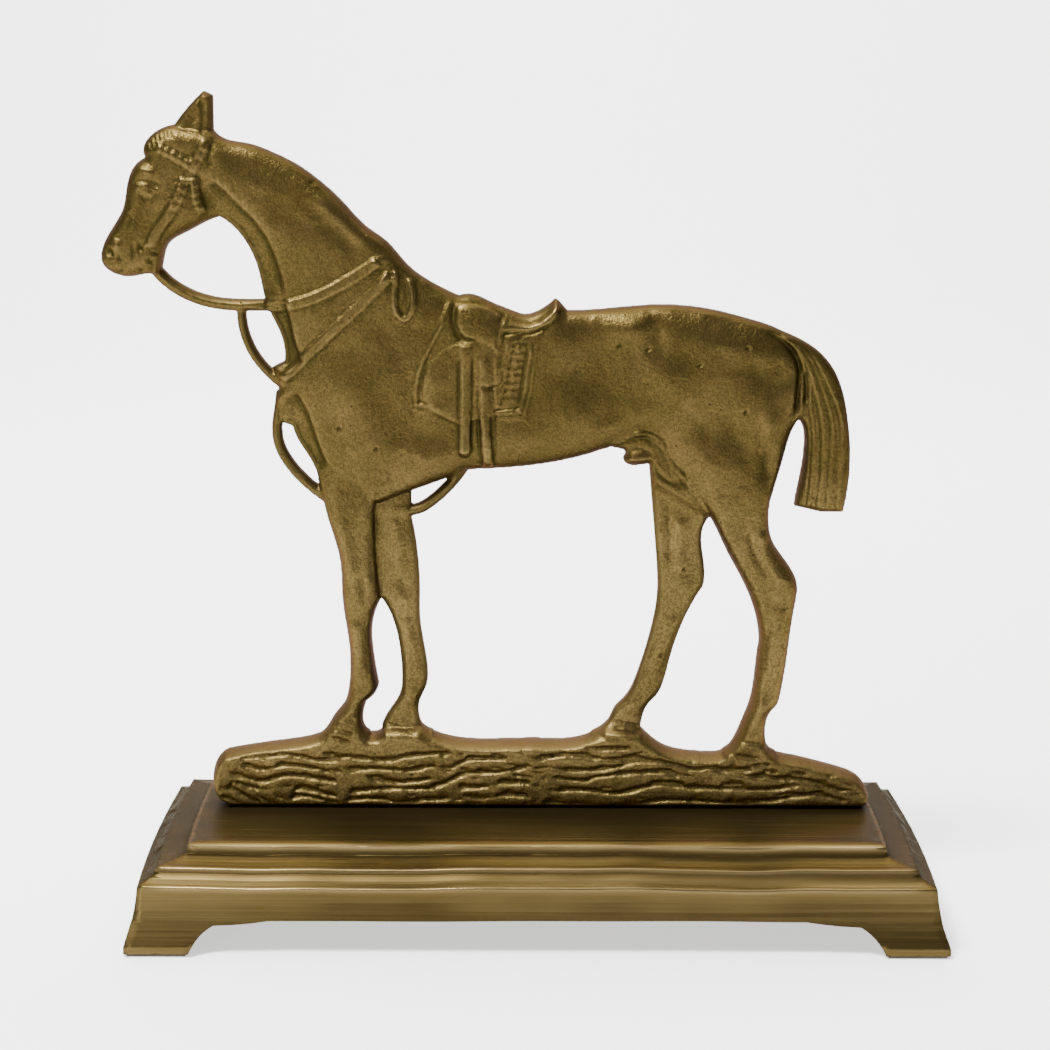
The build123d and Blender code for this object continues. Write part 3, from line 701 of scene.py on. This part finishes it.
# The moulding's lines: how far each stands in from the foot's edge, and how far below the top
NOSES = ((5.6, 12.1), (12.7, 6.4), (24.6, 0.9))
GROOVES = ((12.3, 8.5), (24.2, 4.3))
NOSE_WIDTH, GROOVE_WIDTH = 1.3, 2.6
BOW_RADIUS = 1340
BOW_CUT_AWAY = 0.8
end_reach = (plinth_high.x - plinth_low.x) / 2 / MM + BOW_CUT_AWAY - y**2 / (2 * BOW_RADIUS)
inset = np.minimum(end_reach - np.abs(x), plinth_high.y / MM - np.abs(y))


def nearness(lines, width):
    """1 on any of the moulding's lines, falling to 0 over a few widths."""
    return np.max([np.exp(-((np.hypot(inset - stand_in, PLINTH_TOP - drop - z) / width) ** 2))
                   for stand_in, drop in lines], axis=0)


# Painted highlight with some wear: the moulding's noses are lighter and smoother, away from the ends
nose_wear_and_highlight = nearness(NOSES, NOSE_WIDTH) * ramp(-np.abs(x), -158, -148)
under_log = ramp(-np.abs(y - middle_y / MM), -34, -9) * ramp(-np.abs(x), -155, -120) * (z > PLINTH_TOP - 1)
# Painted shade: dark in the moulding's grooves and on the top beside and under the log
groove_and_log_shade = np.maximum(nearness(GROOVES, GROOVE_WIDTH), 0.3 * under_log)
for name, value in (("nose_wear_and_highlight", nose_wear_and_highlight), ("groove_and_log_shade", groove_and_log_shade)):
    plinth_piece.data.attributes.new(name, "FLOAT", "POINT").data.foreach_set("value", value.astype(np.float32))

# ---------------------------------------------------------------- felt pads: the CAD pads with soft, pressed edges
for end in ("left", "right"):
    for face in ("front", "rear"):
        node = f"felt_pad_{face}_{end}"
        pad_shape = merged_copy(node)
        bmesh.ops.dissolve_limit(
            pad_shape, angle_limit=0.02, verts=pad_shape.verts[:], edges=pad_shape.edges[:])
        bmesh.ops.bevel(pad_shape, geom=pad_shape.edges[:], offset=0.0003, offset_type="OFFSET", affect="EDGES",
                        segments=3, profile=0.5, material=-1)
        subdivided(pad_shape, 0.0015)
        pad = piece_of(f"felt_{face}_{end}", pad_shape, "felt", node)
        pad.data.shade_smooth()


# ---------------------------------------------------------------- finishes
class Wire:
    """A node's output, with Python's arithmetic."""

    def __init__(self, finish, socket):
        self.finish, self.socket = finish, socket

    def maths(self, operation, *others, flipped=False):
        values = [self, *others]
        if flipped:
            values.reverse()
        return self.finish.add("ShaderNodeMath", dict(enumerate(values)), operation=operation)

    def __add__(self, other):
        return self.maths("ADD", other)

    __radd__ = __add__

    def __sub__(self, other):
        return self.maths("SUBTRACT", other)

    def __rsub__(self, other):
        return self.maths("SUBTRACT", other, flipped=True)

    def __mul__(self, other):
        return self.maths("MULTIPLY", other)

    __rmul__ = __mul__

    def between(self, low, high):
        """0 at `low` and 1 at `high`, smooth and clamped."""
        return self.finish.add(
            "ShaderNodeMapRange", {0: self, 1: low, 2: high}, interpolation_type="SMOOTHSTEP")


class Finish:
    """One material and its nodes."""

    def __init__(self, name, **constants):
        self.material = bpy.data.materials.new(name)
        self.material.use_nodes = True
        self.tree = self.material.node_tree
        self.shader = self.tree.nodes["Principled BSDF"]
        for socket, value in constants.items():
            self.shader.inputs[socket.replace("_", " ").title().replace("Ior", "IOR")].default_value = value
        self.place = self.add("ShaderNodeTexCoord", {}, out="Object")

    def add(self, kind, sockets, out=0, **settings):
        node = self.tree.nodes.new(kind)
        for setting, value in settings.items():
            setattr(node, setting, value)
        for key, value in sockets.items():
            if isinstance(value, Wire):
                self.tree.links.new(value.socket, node.inputs[key])
            else:
                node.inputs[key].default_value = value
        return Wire(self, node.outputs[out])

    def noise(self, scale, detail=2.0, stretch=(1, 1, 1), roughness=0.5):
        """Noise whose lumps are 1/scale metres, closer together along an axis whose stretch is more than 1."""
        place = self.add("ShaderNodeMapping", {"Vector": self.place, "Scale": stretch})
        return self.add("ShaderNodeTexNoise", {"Vector": place, "Scale": scale, "Detail": detail,
                                               "Roughness": roughness})

    def attribute(self, name):
        return self.add("ShaderNodeAttribute", {}, out="Fac", attribute_name=name)

    def mix(self, share, first, second):
        return self.add("ShaderNodeMix", {0: share, 6: first, 7: second}, out=2, data_type="RGBA")

    def feed(self, **wires):
        """Links the shader's sockets; `bump` is a height in metres."""
        height = wires.pop("bump", None)
        if height is not None:
            wires["normal"] = self.add("ShaderNodeBump", {"Strength": 1.0, "Distance": 1.0, "Height": height})
        for socket, wire in wires.items():
            self.tree.links.new(wire.socket, self.shader.inputs[socket.replace("_", " ").title()])
        return self.material


def cast_brass():
    finish = Finish("cast_brass", metallic=0.85, specular_tint=(0.35, 0.26, 0.14, 1), specular_ior_level=0.3)
    hollow, wall = finish.attribute("hollow"), finish.attribute("wall")
    clouds = finish.noise(34, 3).between(0.35, 0.65)
    patches = finish.noise(110, 3).between(0.36, 0.66)
    grain = finish.noise(1750, 2, roughness=0.7)
    sand = finish.noise(800, 2, roughness=0.6)
    grit = (grain * 0.6 + sand * 0.4).between(0.4, 0.6)
    holes = finish.add("ShaderNodeTexVoronoi", {"Vector": finish.place, "Scale": 330.0, "Randomness": 1.0})
    pit = (1 - holes.between(0.06, 0.2)) * finish.noise(70, 1).between(0.52, 0.66)
    deep = (hollow * 2.2 + (0.5 - sand) * 0.6).between(0.05, 0.9)
    proud = (hollow * -2.0 + (sand - 0.5) * 0.8).between(0.05, 1.1)
    polished = (clouds * 0.4 + proud * 0.7 - deep * 0.8).between(0.1, 0.8)
    # Painted light and shade: the legs are painted a lighter brass and the body above them a darker one
    shaded_upper = finish.add("ShaderNodeSeparateXYZ", {0: finish.place}, out=2).between(0.150, 0.195)
    lit_legs = finish.mix(clouds, (0.108, 0.076, 0.025, 1), (0.130, 0.090, 0.032, 1))
    body = finish.mix(clouds, (0.070, 0.048, 0.014, 1), (0.086, 0.058, 0.019, 1))
    body = finish.mix(patches * 0.4, body, (0.064, 0.048, 0.013, 1))
    brass = finish.mix(shaded_upper, lit_legs, body)
    brass = finish.mix((1 - grit) * (0.62 - polished * 0.25) * (1 - wall), brass, (0.024, 0.018, 0.004, 1))
    brass = finish.mix(proud * 0.32, brass, (0.17, 0.12, 0.048, 1))
    # Darker in the hollows: patina, and painted shade in the corners under the trunk
    brass = finish.mix(deep * 0.72, brass, (0.024, 0.020, 0.005, 1))
    # Painted shade: the side walls are darkened
    brass = finish.mix(wall * 0.6, brass, (0.045, 0.031, 0.012, 1))
    brass = finish.mix(pit * 0.85, brass, (0.012, 0.009, 0.003, 1))
    rough = 0.32 + 0.12 * wall + 0.18 * deep - 0.06 * polished + 0.08 * (1 - grit) + 0.15 * pit
    height = (grain * 0.00016 + sand * 0.00025) * (1 - 0.5 * wall) * (1 - 0.5 * polished) - pit * 0.0001
    return finish.feed(base_color=brass, roughness=rough, bump=height)


def brushed_brass():
    finish = Finish("brushed_brass", metallic=0.9, specular_tint=(0.22, 0.20, 0.13, 1), specular_ior_level=0.3)
    facing = finish.add("ShaderNodeTexCoord", {}, out="Normal")
    parts = finish.add("ShaderNodeSeparateXYZ", {0: facing})
    end = parts.maths("ABSOLUTE").between(0.55, 0.85)
    lines_x = finish.noise(60, 4, stretch=(0.12, 22, 22), roughness=0.6)
    lines_y = finish.noise(60, 4, stretch=(22, 0.12, 22), roughness=0.6)
    lines = lines_x * (1 - end) + lines_y * end
    clouds = finish.noise(16, 3, stretch=(0.5, 1.5, 1.5)).between(0.34, 0.66)
    nose_wear_and_highlight, groove_and_log_shade = finish.attribute("nose_wear_and_highlight"), finish.attribute("groove_and_log_shade")
    brass = finish.mix(clouds, (0.058, 0.040, 0.0125, 1), (0.080, 0.056, 0.020, 1))
    brass = finish.mix(lines.between(0.4, 0.7) * 0.12, brass, (0.21, 0.15, 0.07, 1))
    # Painted shade in the grooves and under the log
    brass = finish.mix(groove_and_log_shade * 0.75, brass, (0.030, 0.020, 0.006, 1))
    # Painted highlight and wear on the noses
    brass = finish.mix(nose_wear_and_highlight * 0.35, brass, (0.34, 0.25, 0.12, 1))
    rough = 0.3 + 0.1 * lines.between(0.3, 0.7) - 0.08 * nose_wear_and_highlight + 0.1 * groove_and_log_shade
    return finish.feed(base_color=brass, roughness=rough, bump=lines * 0.00003)


def zinc_steel():
    finish = Finish("zinc_steel", metallic=1.0)
    spangle = finish.noise(900, 3)
    steel = finish.mix(spangle.between(0.35, 0.65), (0.50, 0.50, 0.52, 1), (0.62, 0.62, 0.64, 1))
    return finish.feed(base_color=steel, roughness=0.28 + 0.2 * spangle, bump=spangle * 0.00002)


def pressed_felt():
    finish = Finish("pressed_felt", sheen_weight=0.4)
    fibres = finish.noise(2600, 4, roughness=0.7)
    felt = finish.mix(fibres.between(0.35, 0.65), (0.030, 0.026, 0.022, 1), (0.085, 0.075, 0.062, 1))
    return finish.feed(base_color=felt, roughness=0.85 + 0.12 * fibres, bump=fibres * 0.00025)


finishes = {"cast_brass": cast_brass(), "brushed_brass": brushed_brass(), "fixing_steel": zinc_steel(),
            "felt": pressed_felt()}
for node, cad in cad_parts.items():
    if not cad.hide_render:
        for place in range(max(len(cad.material_slots), 1)):
            if not cad.material_slots:
                cad.data.materials.append(None)
            cad.material_slots[place].material = finishes["fixing_steel"]
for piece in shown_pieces():
    if "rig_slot" in piece:
        piece.data.materials.clear()
        piece.data.materials.append(finishes[piece["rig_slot"]])

# ---------------------------------------------------------------- studio
# A flat sheet that curves up into a backdrop: its front edge, where the curve starts, and its radius
FLOOR_FRONT, CURVE_START, CURVE_RADIUS, SHEET_TOP, SHEET_HALF_WIDTH = -4, 1.6, 0.8, 3.5, 5
curve = [math.radians(a) for a in range(10, 100, 10)]
profile = [(FLOOR_FRONT, 0), (CURVE_START, 0),
           *((CURVE_START + CURVE_RADIUS * math.sin(a), CURVE_RADIUS * (1 - math.cos(a))) for a in curve),
           (CURVE_START + CURVE_RADIUS, SHEET_TOP)]
floor_shape = bmesh.new()
edge_line = [floor_shape.verts.new((-SHEET_HALF_WIDTH, y, z)) for y, z in profile]
edge_run = [floor_shape.edges.new(pair) for pair in zip(edge_line, edge_line[1:])]
run = bmesh.ops.extrude_edge_only(floor_shape, edges=edge_run)
far_edge = [g for g in run["geom"] if isinstance(g, bmesh.types.BMVert)]
bmesh.ops.translate(floor_shape, verts=far_edge, vec=(2 * SHEET_HALF_WIDTH, 0, 0))
for face in floor_shape.faces:
    face.smooth = True
floor_mesh = bpy.data.meshes.new("floor")
floor_shape.to_mesh(floor_mesh)
floor_shape.free()
floor = bpy.data.objects.new("floor", floor_mesh)
scene.collection.objects.link(floor)
# Painted light: the paper sheet glows, fully behind the object and dimly in front of it
paper = Finish("pale_paper", roughness=0.9, emission_strength=0.95)
mottle = paper.noise(3, 2)
behind = paper.add("ShaderNodeSeparateXYZ", {0: paper.place}, out=1).between(-0.75, -0.35)
floor_mesh.materials.append(paper.feed(
    base_color=paper.mix(mottle, (0.90, 0.90, 0.90, 1), (0.92, 0.92, 0.92, 1)),
    emission_color=paper.mix(behind, (0.2, 0.2, 0.2, 1), (1, 1, 1, 1))))


def softbox(name, place, aim, size, power):
    """A square soft light at a place, turned to a point."""
    light = bpy.data.lights.new(name, "AREA")
    light.shape, light.size, light.energy = "SQUARE", size, power
    holder = bpy.data.objects.new(name, light)
    holder.location = place
    holder.rotation_euler = (Vector(aim) - Vector(place)).to_track_quat("-Z", "Y").to_euler()
    scene.collection.objects.link(holder)


AIM = (0, 0, 0.16)
softbox("key", (-0.5, -0.55, 1.5), AIM, 0.45, 75)
softbox("fill", (-0.8, -1.4, 0.2), (0, 0, 0.08), 0.5, 8)
softbox("top", (0.0, 0.9, 1.9), (0, 0.9, 0), 1.8, 40)
softbox("backdrop", (0.0, 0.9, 1.9), (0, 2.3, 0.9), 1.6, 90)

world = bpy.data.worlds.new("studio")
scene.world = world
world.use_nodes = True
world.node_tree.nodes["Background"].inputs["Color"].default_value = (1, 1, 1, 1)
world.node_tree.nodes["Background"].inputs["Strength"].default_value = 0.24

camera_lens = bpy.data.cameras.new("camera")
camera_lens.sensor_width = 36
camera_lens.lens = 85.714
camera = bpy.data.objects.new("camera", camera_lens)
camera.matrix_world = (
    Matrix.Translation((centre_x - 0.0091, -1.0239, foot_z + 0.3668))
    @ Matrix.Rotation(math.radians(-0.21), 4, "Z")
    @ Matrix.Rotation(math.radians(90 - 11.32), 4, "X")
    @ Matrix.Rotation(math.radians(0.23), 4, "Z"))
scene.collection.objects.link(camera)
scene.camera = camera
